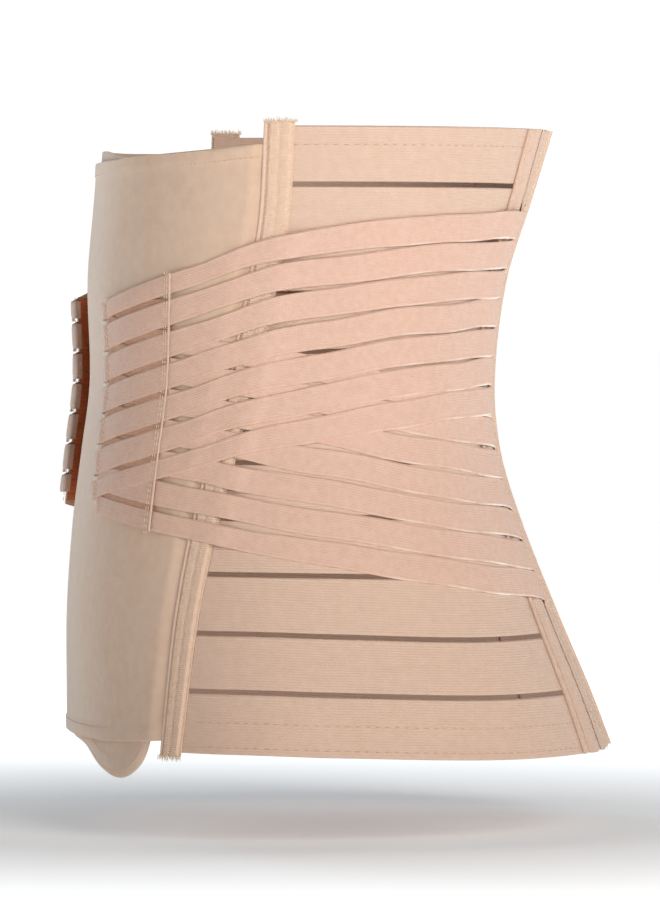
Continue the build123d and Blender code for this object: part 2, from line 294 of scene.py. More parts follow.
def cloth(name, side, place, columns, rows, size, thickness, material, relief=None, shift=None):
    """Closed sheet that follows the worn shape, with its rounded rim and its relief as real shape.

    size is about (length, height); relief gives how much the face is raised at a distance along
    and up the piece, of its whole length and height; shift moves the finished points.
    """
    u, v = np.meshgrid(shares(columns, size[0]), shares(rows, size[1]), indexing="ij")
    angle, height, lift = place(u, v)
    base = spot(angle, height, lift, side)
    along, up = np.zeros_like(u), np.zeros_like(u)
    along[1:] = np.cumsum(np.linalg.norm(np.diff(base, axis=0), axis=2), axis=0)
    up[:, 1:] = np.cumsum(np.linalg.norm(np.diff(base, axis=1), axis=2), axis=1)
    length, tall = along[-1:] + 0 * along, up[:, -1:] + 0 * up
    rim = np.minimum.reduce([along, length - along, up, tall - up])
    inward = 1 - np.clip(rim / RIM, 0, 1)
    raised = thickness - 0.6 * thickness * (1 - np.sqrt(1 - inward * inward))
    if relief:
        raised = raised + relief(along, up, length, tall) * (1 - inward)
    outer = spot(angle, height, lift + raised, side)
    linings = int(size[1] / LINING_STEP) + 3
    kept = np.unique(np.linspace(0, u.shape[1] - 1, linings).round().astype(int))
    inner = base[:, kept]
    if shift:
        outer, inner = shift(outer), shift(inner)
    n, m, k = u.shape[0], u.shape[1], len(kept)
    flip = side < 0
    faces = grid_faces(n, m, 0, flip) + grid_faces(n, k, n * m, not flip)

    def add(ring):
        faces.append(tuple(ring)[::-1] if flip else tuple(ring))

    for i in range(n - 1):
        a, b = i * m, n * m + i * k
        add((b, b + k, a + m, a))
        add((a + m - 1, a + 2 * m - 1, b + 2 * k - 1, b + k - 1))
    add([*range(m - 1, -1, -1), *range(n * m, n * m + k)])
    last, last_inner = (n - 1) * m, n * m + (n - 1) * k
    add([*range(last, last + m), *range(last_inner + k - 1, last_inner - 1, -1)])
    flat = np.stack([along, up], axis=-1)
    flat = np.concatenate([flat.reshape(-1, 2), flat[:, kept].reshape(-1, 2)])
    points = np.concatenate([outer.reshape(-1, 3), inner.reshape(-1, 3)])
    obj = make_mesh(name, points, faces, material, flat)
    obj["worn_length"], obj["worn_height"] = float(along[-1].mean()), float(up[:, -1].mean())
    return obj


def upright(name, side, middle, width, low, high, lift, material, relief, columns):
    """A tape that runs up the body."""
    def start(height):
        return middle(height) - degrees_for(width / 2, middle(height), height)

    def end(height):
        return middle(height) + degrees_for(width / 2, middle(height), height)

    if not callable(lift):
        lift = fixed(lift)
    place = patch(start, end, fixed(low), fixed(high), lift)
    return cloth(name, side, place, columns, TAPE_ROWS, (width, high - low), TAPE, material, relief)


def directions(points):
    """Directions along a line of points."""
    steps = np.gradient(points, axis=0)
    return steps / np.linalg.norm(steps, axis=1, keepdims=True)


def evenly(points, pitch):
    """The points of a line at an even distance."""
    gone = np.concatenate([[0], np.cumsum(np.linalg.norm(np.diff(points, axis=0), axis=1))])
    count = max(int(gone[-1] / pitch), 1) + 1
    places = np.linspace(0, gone[-1], count)
    return np.stack([np.interp(places, gone, points[:, c]) for c in range(3)], axis=1)


def line(angle, height, lift, side, count=400):
    """Points and outward directions of a line on the worn shape."""
    t = np.linspace(0, 1, count)
    a, h = angle(t), height(t)
    on = spot(a, h, lift(a, h), side)
    out = spot(a, h, lift(a, h) + 0.01, side) - on
    return on, out / np.linalg.norm(out, axis=1, keepdims=True)


def rings_mesh(name, rings, material, caps=True):
    """Tubes from rings: an array of tubes, rings in each, points in each ring."""
    tubes, count, around = rings.shape[:3]
    faces = []
    for tube in range(tubes):
        first = tube * count * around
        for r in range(count - 1):
            for k in range(around):
                a, b = first + r * around + k, first + r * around + (k + 1) % around
                faces.append((a, b, b + around, a + around))
        if caps:
            faces.append(tuple(range(first + around - 1, first - 1, -1)))
            faces.append(tuple(range(first + (count - 1) * around, first + count * around)))
    return make_mesh(name, rings, faces, material, sharp=80)


def stitches(name, rows, material, pitch=STITCH_PITCH, length=STITCH, radius=THREAD, shift=None):
    """Rows of sewn stitches. Each row is the points of a line and its outward directions."""
    pegs = []
    ring = [(math.cos(k * math.tau / 5), math.sin(k * math.tau / 5)) for k in range(5)]
    for points, out in rows:
        centres = evenly(points, pitch)
        gone = np.linspace(0, 1, len(centres))
        own = np.linspace(0, 1, len(out))
        ups = np.stack([np.interp(gone, own, out[:, c]) for c in range(3)], axis=1)
        ahead = directions(centres)
        sideways = np.cross(ups, ahead)
        for share, thick, raised in ((-0.5, 0.4, -0.4), (0, 1, 0.5), (0.5, 0.4, -0.4)):
            middle = centres + ahead * length * share + ups * radius * raised
            pegs.append((share, np.stack([middle + radius * thick * (c * sideways + s * ups)
                                          for c, s in ring], axis=1)))
    tubes = [np.stack([pegs[i][1], pegs[i + 1][1], pegs[i + 2][1]], axis=1) for i in range(0, len(pegs), 3)]
    tubes = np.concatenate(tubes)
    if shift:
        tubes = shift(tubes)
    return rings_mesh(name, tubes, material)


def swept(name, path, out, half_width, half_height, material, around=12):
    """A rounded band along a path: half_width lies across the path, half_height stands off it."""
    ahead = directions(path)
    across = np.cross(out, ahead)
    across /= np.linalg.norm(across, axis=1, keepdims=True)
    turns = np.arange(around) * math.tau / around
    ring = (path[:, None] + across[:, None] * (half_width * np.cos(turns))[None, :, None]
            + out[:, None] * (half_height * np.sin(turns))[None, :, None])
    return rings_mesh(name, ring[None], material)


# ======== materials ========

def colour(red, green, blue):
    """A colour as a screen shows it, turned into light."""
    return [c / 12.92 if c <= 0.04045 else ((c + 0.055) / 1.055) ** 2.4 for c in (red, green, blue)] + [1]


class Nodes:
    """A material being built from its nodes."""

    def __init__(self, name, roughness, sheen=0.0, metallic=0.0, specular=0.3, sheen_tint=None):
        self.material = bpy.data.materials.new(name)
        self.material.use_nodes = True
        self.tree = self.material.node_tree
        self.shader = self.tree.nodes["Principled BSDF"]
        self.set("Roughness", roughness)
        self.set("Sheen Weight", sheen)
        self.set("Sheen Roughness", 0.5)
        self.set("Metallic", metallic)
        self.set("Specular IOR Level", specular)
        if sheen_tint:
            self.set("Sheen Tint", sheen_tint)
        self.flat = self.add("ShaderNodeUVMap")
        self.flat.uv_map = "cloth"
        self.solid = self.add("ShaderNodeTexCoord")

    def set(self, socket, value):
        self.shader.inputs[socket].default_value = value

    def add(self, kind, **values):
        node = self.tree.nodes.new(kind)
        for key, value in values.items():
            if hasattr(node, key):
                setattr(node, key, value)
            else:
                node.inputs[key.replace("_", " ")].default_value = value
        return node

    def link(self, source, target):
        self.tree.links.new(source, target)

    def math(self, operation, a, b=None):
        node = self.add("ShaderNodeMath", operation=operation)
        for socket, value in zip(node.inputs, (a, b)):
            if isinstance(value, (int, float)):
                socket.default_value = value
            elif value is not None:
                self.link(value, socket)
        return node.outputs[0]

    def noise(self, scale, detail=3, source=None, stretched=None):
        node = self.add("ShaderNodeTexNoise")
        node.inputs["Scale"].default_value = scale
        node.inputs["Detail"].default_value = detail
        place = source or self.solid.outputs["Object"]
        if stretched:
            mapping = self.add("ShaderNodeMapping")
            mapping.inputs["Scale"].default_value = stretched
            self.link(place, mapping.inputs["Vector"])
            place = mapping.outputs["Vector"]
        self.link(place, node.inputs["Vector"])
        return node.outputs[0]

    def waves(self, axis, pitch):
        """A smooth ridge every pitch metres, 0 to 1, along the cloth (0) or up it (1)."""
        parts = self.add("ShaderNodeSeparateXYZ")
        self.link(self.flat.outputs["UV"], parts.inputs[0])
        turned = self.math("MULTIPLY", parts.outputs[axis], math.tau / pitch)
        return self.math("MULTIPLY_ADD", self.math("SINE", turned), 0.5)

    def mix(self, share, a, b):
        node = self.add("ShaderNodeMix", data_type="RGBA")
        for socket, value in ((node.inputs[0], share), (node.inputs[6], a), (node.inputs[7], b)):
            if isinstance(value, (list, tuple, float, int)):
                socket.default_value = value
            else:
                self.link(value, socket)
        return node.outputs[2]

    def ramp(self, source, low, high):
        """source between low and high, spread over 0 to 1."""
        node = self.add("ShaderNodeMapRange")
        self.link(source, node.inputs[0])
        node.inputs[1].default_value, node.inputs[2].default_value = low, high
        return node.outputs[0]

    def rough(self, pattern, spread, low):
        """Roughness from low upwards, by spread over a pattern."""
        result = self.math("MULTIPLY_ADD", pattern, spread)
        result.node.inputs[2].default_value = low
        return result

    def finish(self, base, height=None, strength=0.5, distance=0.0003, roughness=None):
        self.link(base, self.shader.inputs["Base Color"])
        if roughness is not None:
            self.link(roughness, self.shader.inputs["Roughness"])
        if height is not None:
            bump = self.add("ShaderNodeBump")
            bump.inputs["Strength"].default_value = strength
            bump.inputs["Distance"].default_value = distance
            self.link(height, bump.inputs["Height"])
            self.link(bump.outputs[0], self.shader.inputs["Normal"])
        return self.material


def woven(name, light, dark, warm, cord, thread, roughness=0.82, sheen=0.25, strength=0.55, mottle=300,
          pale=None):
    """Woven elastic or tape: cords along it and threads across them, in slightly uneven dye."""
    light, dark, warm = colour(*light), colour(*dark), colour(*warm)
    n = Nodes(name, roughness, sheen, sheen_tint=colour(1.0, 0.92, 0.84))
    cords, threads = n.waves(1, cord), n.waves(0, thread)
    cloth_height = n.math("MULTIPLY", n.math("ADD", cords, 0.5), n.math("ADD", threads, 1.6))
    uneven = n.ramp(n.noise(mottle, 4), 0.32, 0.68)
    fibres = n.noise(1.0, 2, n.flat.outputs["UV"], (260, 2600, 1))
    worn = n.math("MULTIPLY", n.ramp(fibres, 0.25, 0.75), 0.55)
    base = n.mix(uneven, dark, light)
    base = n.mix(worn, base, warm)
    # Painted shade: the low parts of the weave are darkened towards the dark colour.
    shaded = n.mix(n.ramp(cloth_height, 0.8, 3.2), n.mix(0.35, base, dark), base)
    # Painted highlight: a pale line along the lower edge of a strip, broken up by noise, that shows only
    # some way behind the tab.
    if pale:
        parts = n.add("ShaderNodeSeparateXYZ")
        n.link(n.flat.outputs["UV"], parts.inputs[0])
        edge = n.ramp(parts.outputs[1], PAINTED_HIGHLIGHT, PAINTED_HIGHLIGHT * 0.5)
        broken_highlight = n.ramp(n.noise(1.0, 2, n.flat.outputs["UV"], (45, 10, 1)), 0.42, 0.6)
        rear = n.ramp(parts.outputs[0], *PAINTED_HIGHLIGHT_START)
        shaded = n.mix(n.math("MULTIPLY", n.math("MULTIPLY", edge, broken_highlight), rear), shaded, colour(*pale))
    rough = n.rough(fibres, 0.12, roughness - 0.06)
    return n.finish(shaded, n.math("ADD", cloth_height, fibres), strength, 0.00012, rough)


def velour(name, light, dark, grey):
    """Brushed loop laminate: a short nap that takes the light unevenly."""
    light, dark, grey = colour(*light), colour(*dark), colour(*grey)
    n = Nodes(name, 0.9, 0.6, sheen_tint=colour(1.0, 0.94, 0.88))
    nap = n.noise(1500, 3)
    clumps = n.noise(420, 2)
    uneven = n.ramp(n.noise(170, 4), 0.3, 0.7)
    brushed = n.ramp(n.noise(28, 2, stretched=(1, 1, 0.35)), 0.35, 0.65)
    base = n.mix(uneven, dark, light)
    # Painted sheen: brushed patches are mixed towards a paler grey, where the nap takes the light.
    base = n.mix(n.math("MULTIPLY", brushed, 0.3), base, grey)
    base = n.mix(n.math("MULTIPLY", n.ramp(nap, 0.35, 0.65), 0.22), base, light)
    height = n.math("ADD", n.math("MULTIPLY", nap, 0.7), clumps)
    rough = n.rough(nap, 0.1, 0.84)
    return n.finish(base, height, 0.45, 0.0003, rough)


def moulded(name, light, dark):
    """Moulded hook plastic."""
    n = Nodes(name, 0.42, specular=0.5)
    uneven = n.ramp(n.noise(160, 3), 0.3, 0.7)
    grain = n.noise(2400, 2)
    rough = n.rough(grain, 0.18, 0.34)
    return n.finish(n.mix(uneven, colour(*dark), colour(*light)), grain, 0.25, 0.0001, rough)


def steel(name):
    """Cold-rolled spring steel with fine rolling marks."""
    n = Nodes(name, 0.3, metallic=1.0, specular=0.5)
    marks = n.noise(1.0, 3, stretched=(2500, 2500, 60))
    stain = n.ramp(n.noise(90, 3), 0.3, 0.7)
    rough = n.rough(marks, 0.2, 0.22)
    base = n.mix(stain, colour(0.70, 0.70, 0.71), colour(0.82, 0.82, 0.83))
    return n.finish(base, marks, 0.2, 0.00005, rough)


def thread(name, light, dark):
    n = Nodes(name, 0.6, 0.3)
    twist = n.noise(1800, 2)
    return n.finish(n.mix(n.ramp(twist, 0.3, 0.7), colour(*dark), colour(*light)), twist, 0.4, 0.0001)


WEBBING = woven("webbing", (0.87, 0.755, 0.675), (0.84, 0.72, 0.63), (0.88, 0.73, 0.66),
                0.00125, 0.0009, mottle=240)
# The tension strips get a painted highlight along their lower edges.
ELASTIC = woven("tension_mesh", (0.88, 0.745, 0.675), (0.84, 0.69, 0.61), (0.90, 0.73, 0.65),
                0.0012, 0.0011, roughness=0.72, sheen=0.3, strength=0.4,
                pale=(0.99, 0.95, 0.90))
TAPING = woven("seam_tape", (0.93, 0.80, 0.71), (0.89, 0.755, 0.65), (0.94, 0.81, 0.71),
               0.0010, 0.0007, strength=0.8)
BINDING_CLOTH = woven("binding", (0.88, 0.78, 0.70), (0.85, 0.74, 0.65), (0.89, 0.78, 0.70),
                      0.0008, 0.0008)
# Paler cloth for the folded ends of the strips: painted highlight along the tab's folded front edge.
FOLD_HIGHLIGHT_CLOTH = woven("folded_ends_painted_highlight", (0.93, 0.87, 0.84), (0.90, 0.82, 0.79), (0.93, 0.86, 0.82),
               0.0010, 0.0009)
# Browner cloth for what shows in the gaps between a tab's strips: painted shade.
SHADED_BACKING = woven("tab_backing_painted_shade", (0.82, 0.64, 0.53), (0.76, 0.57, 0.46), (0.80, 0.62, 0.52),
                0.0010, 0.0009)
VELOUR = velour("front_velour", (0.86, 0.735, 0.635), (0.82, 0.69, 0.59), (0.83, 0.76, 0.71))
HOOKS = moulded("hook_plastic", (0.92, 0.57, 0.36), (0.85, 0.48, 0.29))
STEEL = steel("spring_steel")
THREAD_PALE = thread("pale_thread", (0.96, 0.89, 0.80), (0.86, 0.74, 0.63))
THREAD_TAN = thread("tan_thread", (0.88, 0.72, 0.58), (0.78, 0.60, 0.47))
THREAD_WHITE = thread("white_thread", (0.99, 0.98, 0.96), (0.92, 0.88, 0.84))


# ======== where the cloth bends at the joints, and the right tab's rest pose ===

def mirror(point, side):
    return Vector((side * point[0], point[1], point[2]))


def seam_zone():
    """Where the cloth bends at the left side seam: start and end of the bend."""
    hinge = HINGES["left_front_open"]
    heights = np.linspace(BELT_BOTTOM, BELT_TOP, 60)
    seam = spot(side_seam(heights), heights, OUTER_LIFT)
    ahead = spot(side_seam(heights) - 12, heights, OUTER_LIFT) - seam
    forward = ahead.mean(axis=0)
    axis = np.array(hinge["axis"])
    forward -= axis * (forward @ axis)
    forward /= np.linalg.norm(forward)
    pivot = np.array(hinge["pos_m"])
    tab_heights = np.linspace(TAB_BOTTOM - 0.012, TAB_TOP + 0.015, 30)
    tab = spot(tab_seam(tab_heights), tab_heights, LEFT_TAB_LIFT)
    begin = ((seam - pivot) @ forward).max()
    stop = ((tab - pivot) @ forward).min()
    return pivot + forward * begin, pivot + forward * min(stop, begin + 0.034)


def tab_zone(side_name):
    """Where a tab's root bends."""
    hinge = HINGES[side_name + "_tab_peel"]
    side = SIDES[side_name]
    heights = np.linspace(TAB_BOTTOM, TAB_TOP, 20)
    seam = spot(tab_seam(heights), heights, RIGHT_TAB_LIFT, side)
    ahead = (spot(tab_seam(heights) - 10, heights, RIGHT_TAB_LIFT, side) - seam).mean(axis=0)
    axis = np.array(hinge["axis"])
    ahead -= axis * (ahead @ axis)
    ahead /= np.linalg.norm(ahead)
    pivot = np.array(hinge["pos_m"])
    begin = ((seam - pivot) @ ahead).max()
    return pivot + ahead * begin, pivot + ahead * (begin + TAB_BEND)


SEAM_ZONE = seam_zone()


def follow_front(obj, side_name):
    """The piece crosses the side seam."""
    begin, stop = (mirror(point, SIDES[side_name]) for point in SEAM_ZONE)
    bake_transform(obj)


def follow_tab(obj, side_name):
    """The piece starts at the tab's seam; its transform is baked into its points."""
    begin, stop = tab_zone(side_name)
    Vector(begin)
    Vector(stop)
    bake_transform(obj)


def follow_back(obj):
    """The piece crosses from the middle of the back to the side."""
    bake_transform(obj)


def opened(side_name):
    """Turns the right tab's points to where it stands open at rest."""
    if side_name == "left":
        return None
    hinge = HINGES["right_tab_peel"]
    pivot, axis = np.array(hinge["pos_m"]), np.array(hinge["axis"])
    begin, stop = (np.array(p) for p in tab_zone("right"))

    def turn(points):
        shape = points.shape
        flat = points.reshape(-1, 3)
        reach = stop - begin
        share = eased(((flat - begin) @ reach) / (reach @ reach))
        turned = np.radians(RIGHT_TAB_PEEL) * share[:, None]
        arm = flat - pivot
        spun = (arm * np.cos(turned) + np.cross(axis, arm) * np.sin(turned)
                + np.outer(arm @ axis, axis) * (1 - np.cos(turned)))
        return (pivot + spun).reshape(shape)
    return turn


def settle(obj, slot, *nodes, body=None, peels_with=None, stretch=None):
    """Hangs a piece on its body, bakes a piece that a tab carries, and hides the CAD nodes it stands for.

    body is left out where the piece crosses a joint. slot and stretch are not used. peels_with
    is the side of the tab that carries the piece.
    A sheet with a side under 10 mm can't be declared.
    """
    if body:
        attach(obj, body)
    if peels_with:
        follow_tab(obj, peels_with)
    if nodes:
        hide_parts(*nodes)


# ======== bands, rear panels and back ========


def ribs(along, up, length, tall):
    """The webbing's own ribs, and a smooth selvedge along both edges."""
    edge = np.minimum(up, tall - up)
    rib = RIB_DEPTH * (0.5 + 0.5 * np.cos(math.tau * up / RIB_PITCH))
    return np.where(edge > 0.0012, rib, RIB_DEPTH * 1.3)


def rear_drop(number):
    return REAR_SAG * min(max((number - FIRST_SAGGING_LINE) / SAG_LINES, 0), 1)


def band_edge(number, offset):
    """Height of the line between two bands, at an angle."""
    def edge(angle):
        return BAND_EDGES[number] - rear_drop(number) * eased((angle - SAG_START) / SAG_TURN) + offset
    return edge


def bands(side_name):
    side = SIDES[side_name]
    count = len(BAND_EDGES) - 1
    for number in range(count):
        high = band_edge(number, -SLIT / 2 if number > 0 else 0)
        low = band_edge(number + 1, SLIT / 2 if number < count - 1 else 0)
        place = patch(lambda h: side_seam(h) + 0.1, fixed(BAND_END), low, high, fixed(0))
        tall = BAND_EDGES[number] - BAND_EDGES[number + 1] - SLIT
        rows = int(tall / RIB_PITCH * 3.2)
        obj = cloth(f"{side_name}_webbing_{number + 1:02d}", side, place, 50, rows, (0.2, tall), BAND,
                    WEBBING, ribs)
        settle(obj, "elastic_webbing", f"{side_name}_band_{number + 1:02d}",
               body=side_name + "_side", stretch=STRETCH)


def rear_panel(side_name):
    side = SIDES[side_name]

    def lift(angle, height):
        return (BAND + 0.0002) * (1 - eased((angle - BAND_END - 0.2) / 1.5))

    place = patch(fixed(REAR_PANEL_START), fixed(REAR_SEAM - 0.05), fixed(BELT_BOTTOM - REAR_SAG),
                  fixed(BELT_TOP), lift)
    obj = cloth(side_name + "_rear_side_webbing", side, place, 18, 300, (0.03, 0.29), BAND, WEBBING, ribs)
    settle(obj, "elastic_webbing", side_name + "_rear_side_panel",
           body=side_name + "_side", stretch=AS_WORN)


def back_half(side_name):
    side = SIDES[side_name]
    place = patch(fixed(REAR_SEAM + 0.05), fixed(180), fixed(BELT_BOTTOM - REAR_SAG), fixed(BELT_TOP),
                  fixed(0))
    obj = cloth(side_name + "_back_webbing", side, place, 40, 300, (0.06, 0.29), PANEL, WEBBING, ribs)
    follow_back(obj)
    settle(obj, "elastic_webbing", "back_panel", stretch=AS_WORN)


# ======== seam tapes ========


def soft_channel(along, up, length, tall):
    """A soft tape over a rear stay, with hardly any edge."""
    edge = np.minimum(along, length - along)
    twill = 0.00003 * np.sin(math.tau * (up + 0.6 * along) / 0.0013)
    return twill - 0.00012 * np.exp(-((edge - SEWN_EDGE) / 0.0005) ** 2)


def channel(along, up, length, tall):
    """A tape over a stay: flat sewn edges, and two low ridges over the stay."""
    edge = np.minimum(along, length - along)
    middle = np.abs(along - length / 2)
    sewn = 0.00022 * np.exp(-((edge - SEWN_EDGE) / 0.0004) ** 2)
    dip = 0.00035 * np.exp(-(middle / 0.0010) ** 2)
    twill = 0.00005 * np.sin(math.tau * (up + 0.6 * along) / 0.0013)
    return twill - sewn - dip


def over_stay(low, high, middle, width, flank=(0.62, 0.25)):
    """Inner face of a tape: it rises from the cloth beside a stay to clear it."""
    def lift(angle, height):
        reach = np.abs(angle - middle(height)) / degrees_for(width / 2, middle(height), height)
        return high - (high - low) * eased((reach - flank[0]) / flank[1])
    return lift


def side_tape_middle(height):
    seam = side_seam(height)
    return seam + degrees_for(SIDE_TAPE_WIDTH / 2 + TOUCH, seam, height)


def tape_stitches(name, side_name, middle, width, low, high, lift, body):
    """Two rows of stitches down a tape, near its edges."""
    side = SIDES[side_name]
    rows = []
    rise = between(low, high)
    for sign in (-1, 1):
        def angle(t, reach=sign * (width / 2 - SEWN_EDGE)):
            return middle(rise(t)) + degrees_for(reach, middle(rise(t)), rise(t))
        rows.append(line(angle, rise, fixed(lift), side))
    obj = stitches(name, rows, THREAD_PALE)
    settle(obj, "seam_tape", body=body)


def frayed(name, side_name, middle, width, height, up, body):
    """Loose thread ends where a tape was cut."""
    side = SIDES[side_name]
    rng = random.Random(name)
    tubes = []
    count = 46
    for k in range(count):
        reach = 1.15 * width * (k / (count - 1) - 0.5)
        angle = middle(height) + degrees_for(reach, middle(height), height)
        lift = 0.0030 + rng.uniform(-0.0004, 0.0005)
        length = rng.uniform(0.0006, 0.0024)
        points = np.array([spot(angle + rng.uniform(-0.1, 0.1) * step, height + up * length * (step - 0.4),
                                lift + 0.0004 * step * rng.uniform(-1, 1), side) for step in (0, 0.7, 1.4)])
        turns = np.arange(4) * math.tau / 4
        rings = [points[i] + (0.00016 * thick) * np.stack([np.cos(turns), np.sin(turns), 0 * turns], axis=1)
                 for i, thick in ((0, 1.2), (1, 1), (2, 0.4))]
        tubes.append(rings if up > 0 else rings[::-1])
    obj = rings_mesh(name, np.array(tubes), THREAD_PALE)
    settle(obj, "seam_tape", body=body)


def tapes(side_name):
    side, body = SIDES[side_name], side_name + "_side"
    low, high = BELT_BOTTOM - TAPE_OVERHANG, BELT_TOP + TAPE_OVERHANG
    lift = over_stay(BAND + 0.0002, 0.0026, side_tape_middle, SIDE_TAPE_WIDTH)
    tape = upright(side_name + "_side_channel_tape", side, side_tape_middle, SIDE_TAPE_WIDTH, low, high,
                   lift, TAPING, channel, 26)
    settle(tape, "seam_tape", side_name + "_side_tape", body=body, stretch=AS_WORN)
    tape_stitches(side_name + "_side_tape_stitches", side_name, side_tape_middle, SIDE_TAPE_WIDTH,
                  low + 0.001, high - 0.001, BAND + 0.0002 + TAPE, body)
    for end, height, up in (("top", high, 1), ("bottom", low, -1)):
        frayed(f"{side_name}_side_tape_{end}_threads", side_name, side_tape_middle, SIDE_TAPE_WIDTH, height,
               up, body)

    rise = between(low, high)
    path, out = line(lambda t: side_seam(rise(t)) + 0.25, rise, fixed(0.0019), side, 150)
    piping = swept(side_name + "_side_seam_piping", path, out, 0.0009, 0.0008, BINDING_CLOTH)
    settle(piping, "edge_binding", body=body)

    low, high = BELT_BOTTOM - REAR_SAG, BELT_TOP
    middle = fixed(REAR_TAPE_ANGLE)
    lift = over_stay(BAND + 0.0001, 0.0025, middle, REAR_TAPE_WIDTH, (0.52, 0.46))
    rear = upright(side_name + "_rear_channel_tape", side, middle, REAR_TAPE_WIDTH, low, high, lift,
                   WEBBING, soft_channel, 26)
    settle(rear, "seam_tape", side_name + "_rear_tape", body=body, stretch=AS_WORN)
    tape_stitches(side_name + "_rear_tape_stitches", side_name, middle, REAR_TAPE_WIDTH, low + 0.001,
                  high - 0.001, BAND + 0.0001 + TAPE, body)

    angle = REAR_SEAM + 0.1
    seam = upright(side_name + "_rear_seam_binding", side, fixed(angle), SEAM_TAPE_WIDTH, low, high,
                   seam_lift, WEBBING, rolled, 18)
    settle(seam, "seam_tape", body=body)
    tape_stitches(side_name + "_rear_seam_stitches", side_name, fixed(angle), SEAM_TAPE_WIDTH, low + 0.001,
                  high - 0.001, 0.0034, body)


def seam_lift(angle, height):
    """The binding over the rear seam lies on the ends of the strips where they are."""
    beside = eased((height + 0.1060) / 0.0035) * eased((0.0825 - height) / 0.0035)
    reach = eased((np.abs(angle - REAR_SEAM - 0.1) - 0.6) / 0.8)
    return PANEL + 0.0001 + (0.0020 - 0.0008 * reach) * beside


def rolled(along, up, length, tall):
    return 0.0005 * np.sin(math.pi * along / length) ** 2 + 0.00004 * np.sin(math.tau * up / 0.0011)


def back_tapes():
    low, high = BELT_BOTTOM - REAR_SAG, BELT_TOP
    for side_name, side in SIDES.items():
        middle = fixed(BACK_STAY_ANGLE)
        lift = over_stay(PANEL + 0.0001, 0.0028, middle, COVER_WIDTH)
        cover = upright(side_name + "_stay_channel", side, middle, COVER_WIDTH, low, high, lift,
                        TAPING, channel, 30)
        settle(cover, "seam_tape", side_name + "_stay_cover", body="back", stretch=AS_WORN)
        tape_stitches(side_name + "_stay_channel_stitches", side_name, middle, COVER_WIDTH, low + 0.001,
                      high - 0.001, PANEL + 0.0001 + TAPE, "back")
    centre = upright("back_centre_tape", 1, fixed(180.0), CENTRE_TAPE_WIDTH, low, high, PANEL + 0.0001,
                     TAPING, rolled, 14)
    settle(centre, "seam_tape", body="back")


# ======== front panels ========


def panel_relief(seed):
    """Hems at the top and bottom, and the slight unevenness of laminated cloth."""
    rng = random.Random(seed)
    folds = [(rng.uniform(18, 60), rng.uniform(14, 50), rng.uniform(0, math.tau)) for _ in range(6)]

    def relief(along, up, length, tall):
        raised = np.zeros_like(up)
        for edge in (up, tall - up):
            raised += 0.0005 * (1 - eased((edge - HEM + 0.0006) / 0.0009))
            raised -= 0.0003 * np.exp(-((edge - HEM_SEAM) / 0.0005) ** 2)
        for a, b, c in folds:
            raised += 0.00013 * np.sin(a * along + b * up + c)
        return raised
    return relief


def outer_lift(angle, height):
    return SEAM_LIFT + (OUTER_LIFT - SEAM_LIFT) * eased((side_seam(height) - angle) / TUCK)


def front_panels():
    place = patch(fixed(LEFT_FLAP_END), lambda h: side_seam(h) + 0.05, lambda a: smooth(OUTER_BOTTOM, a),
                  lambda a: smooth(OUTER_TOP, a), outer_lift)
    outer = cloth("left_velour_flap", 1, place, 110, 190, (0.16, 0.27), PANEL, VELOUR, panel_relief(3))
    follow_front(outer, "left")
    settle(outer, "front_velour", "left_front_panel", stretch=AS_WORN)

    place = patch(lambda h: -side_seam(h) - 0.05, fixed(RIGHT_FLAP_END), lambda a: smooth(INNER_BOTTOM, a),
                  lambda a: smooth(INNER_TOP, a), fixed(0))
    inner = cloth("right_velour_flap", 1, place, 130, 190, (0.25, 0.28), PANEL, VELOUR, panel_relief(8))
    follow_front(inner, "right")
    settle(inner, "front_velour", "right_front_panel", stretch=AS_WORN)


def hem_stitches():
    """Rows of stitches along the hems of the front panels and of the top and bottom bands."""
    inset = HEM_SEAM
    panels = (("left", OUTER_TOP, OUTER_BOTTOM, LEFT_FLAP_END + 1, 74.0, 46.0, OUTER_LIFT),
              ("right", INNER_TOP, INNER_BOTTOM, -RIGHT_FLAP_END + 1, 74.0, 46.5, 0.0))
    for side_name, top, bottom, start, top_end, bottom_end, lift in panels:
        side = SIDES[side_name]
        rows = []
        for edge, end, step in ((top, top_end, -inset), (bottom, bottom_end, inset)):
            def height(t, edge=edge, end=end, step=step):
                angle = start + (end - start) * t
                return smooth(edge, angle if side > 0 else -angle) + step

            def off(angle, height):
                above = outer_lift(angle, height) if side > 0 else lift
                return above + PANEL + 0.0002
            rows.append(line(lambda t, end=end: start + (end - start) * t, height, off, side))
        obj = stitches(side_name + "_flap_hem_stitches", rows, THREAD_TAN)
        follow_front(obj, side_name)
        settle(obj, "front_velour")
    for side_name, side in SIDES.items():
        rows = []
        for number, step in ((0, -0.0088), (len(BAND_EDGES) - 1, 0.0145), (len(BAND_EDGES) - 1, 0.0032)):
            edge = band_edge(number, step)
            rows.append(line(lambda t: 79 + 66 * t if step < 0 else 60 + 85 * t,
                             lambda t, edge=edge: edge(79 + 66 * t if step < 0 else 60 + 85 * t),
                             fixed(BAND + 0.00012), side))
        obj = stitches(side_name + "_band_hem_stitches", rows, THREAD_TAN, pitch=0.0046, length=0.0026)
        settle(obj, "elastic_webbing", body=side_name + "_side")


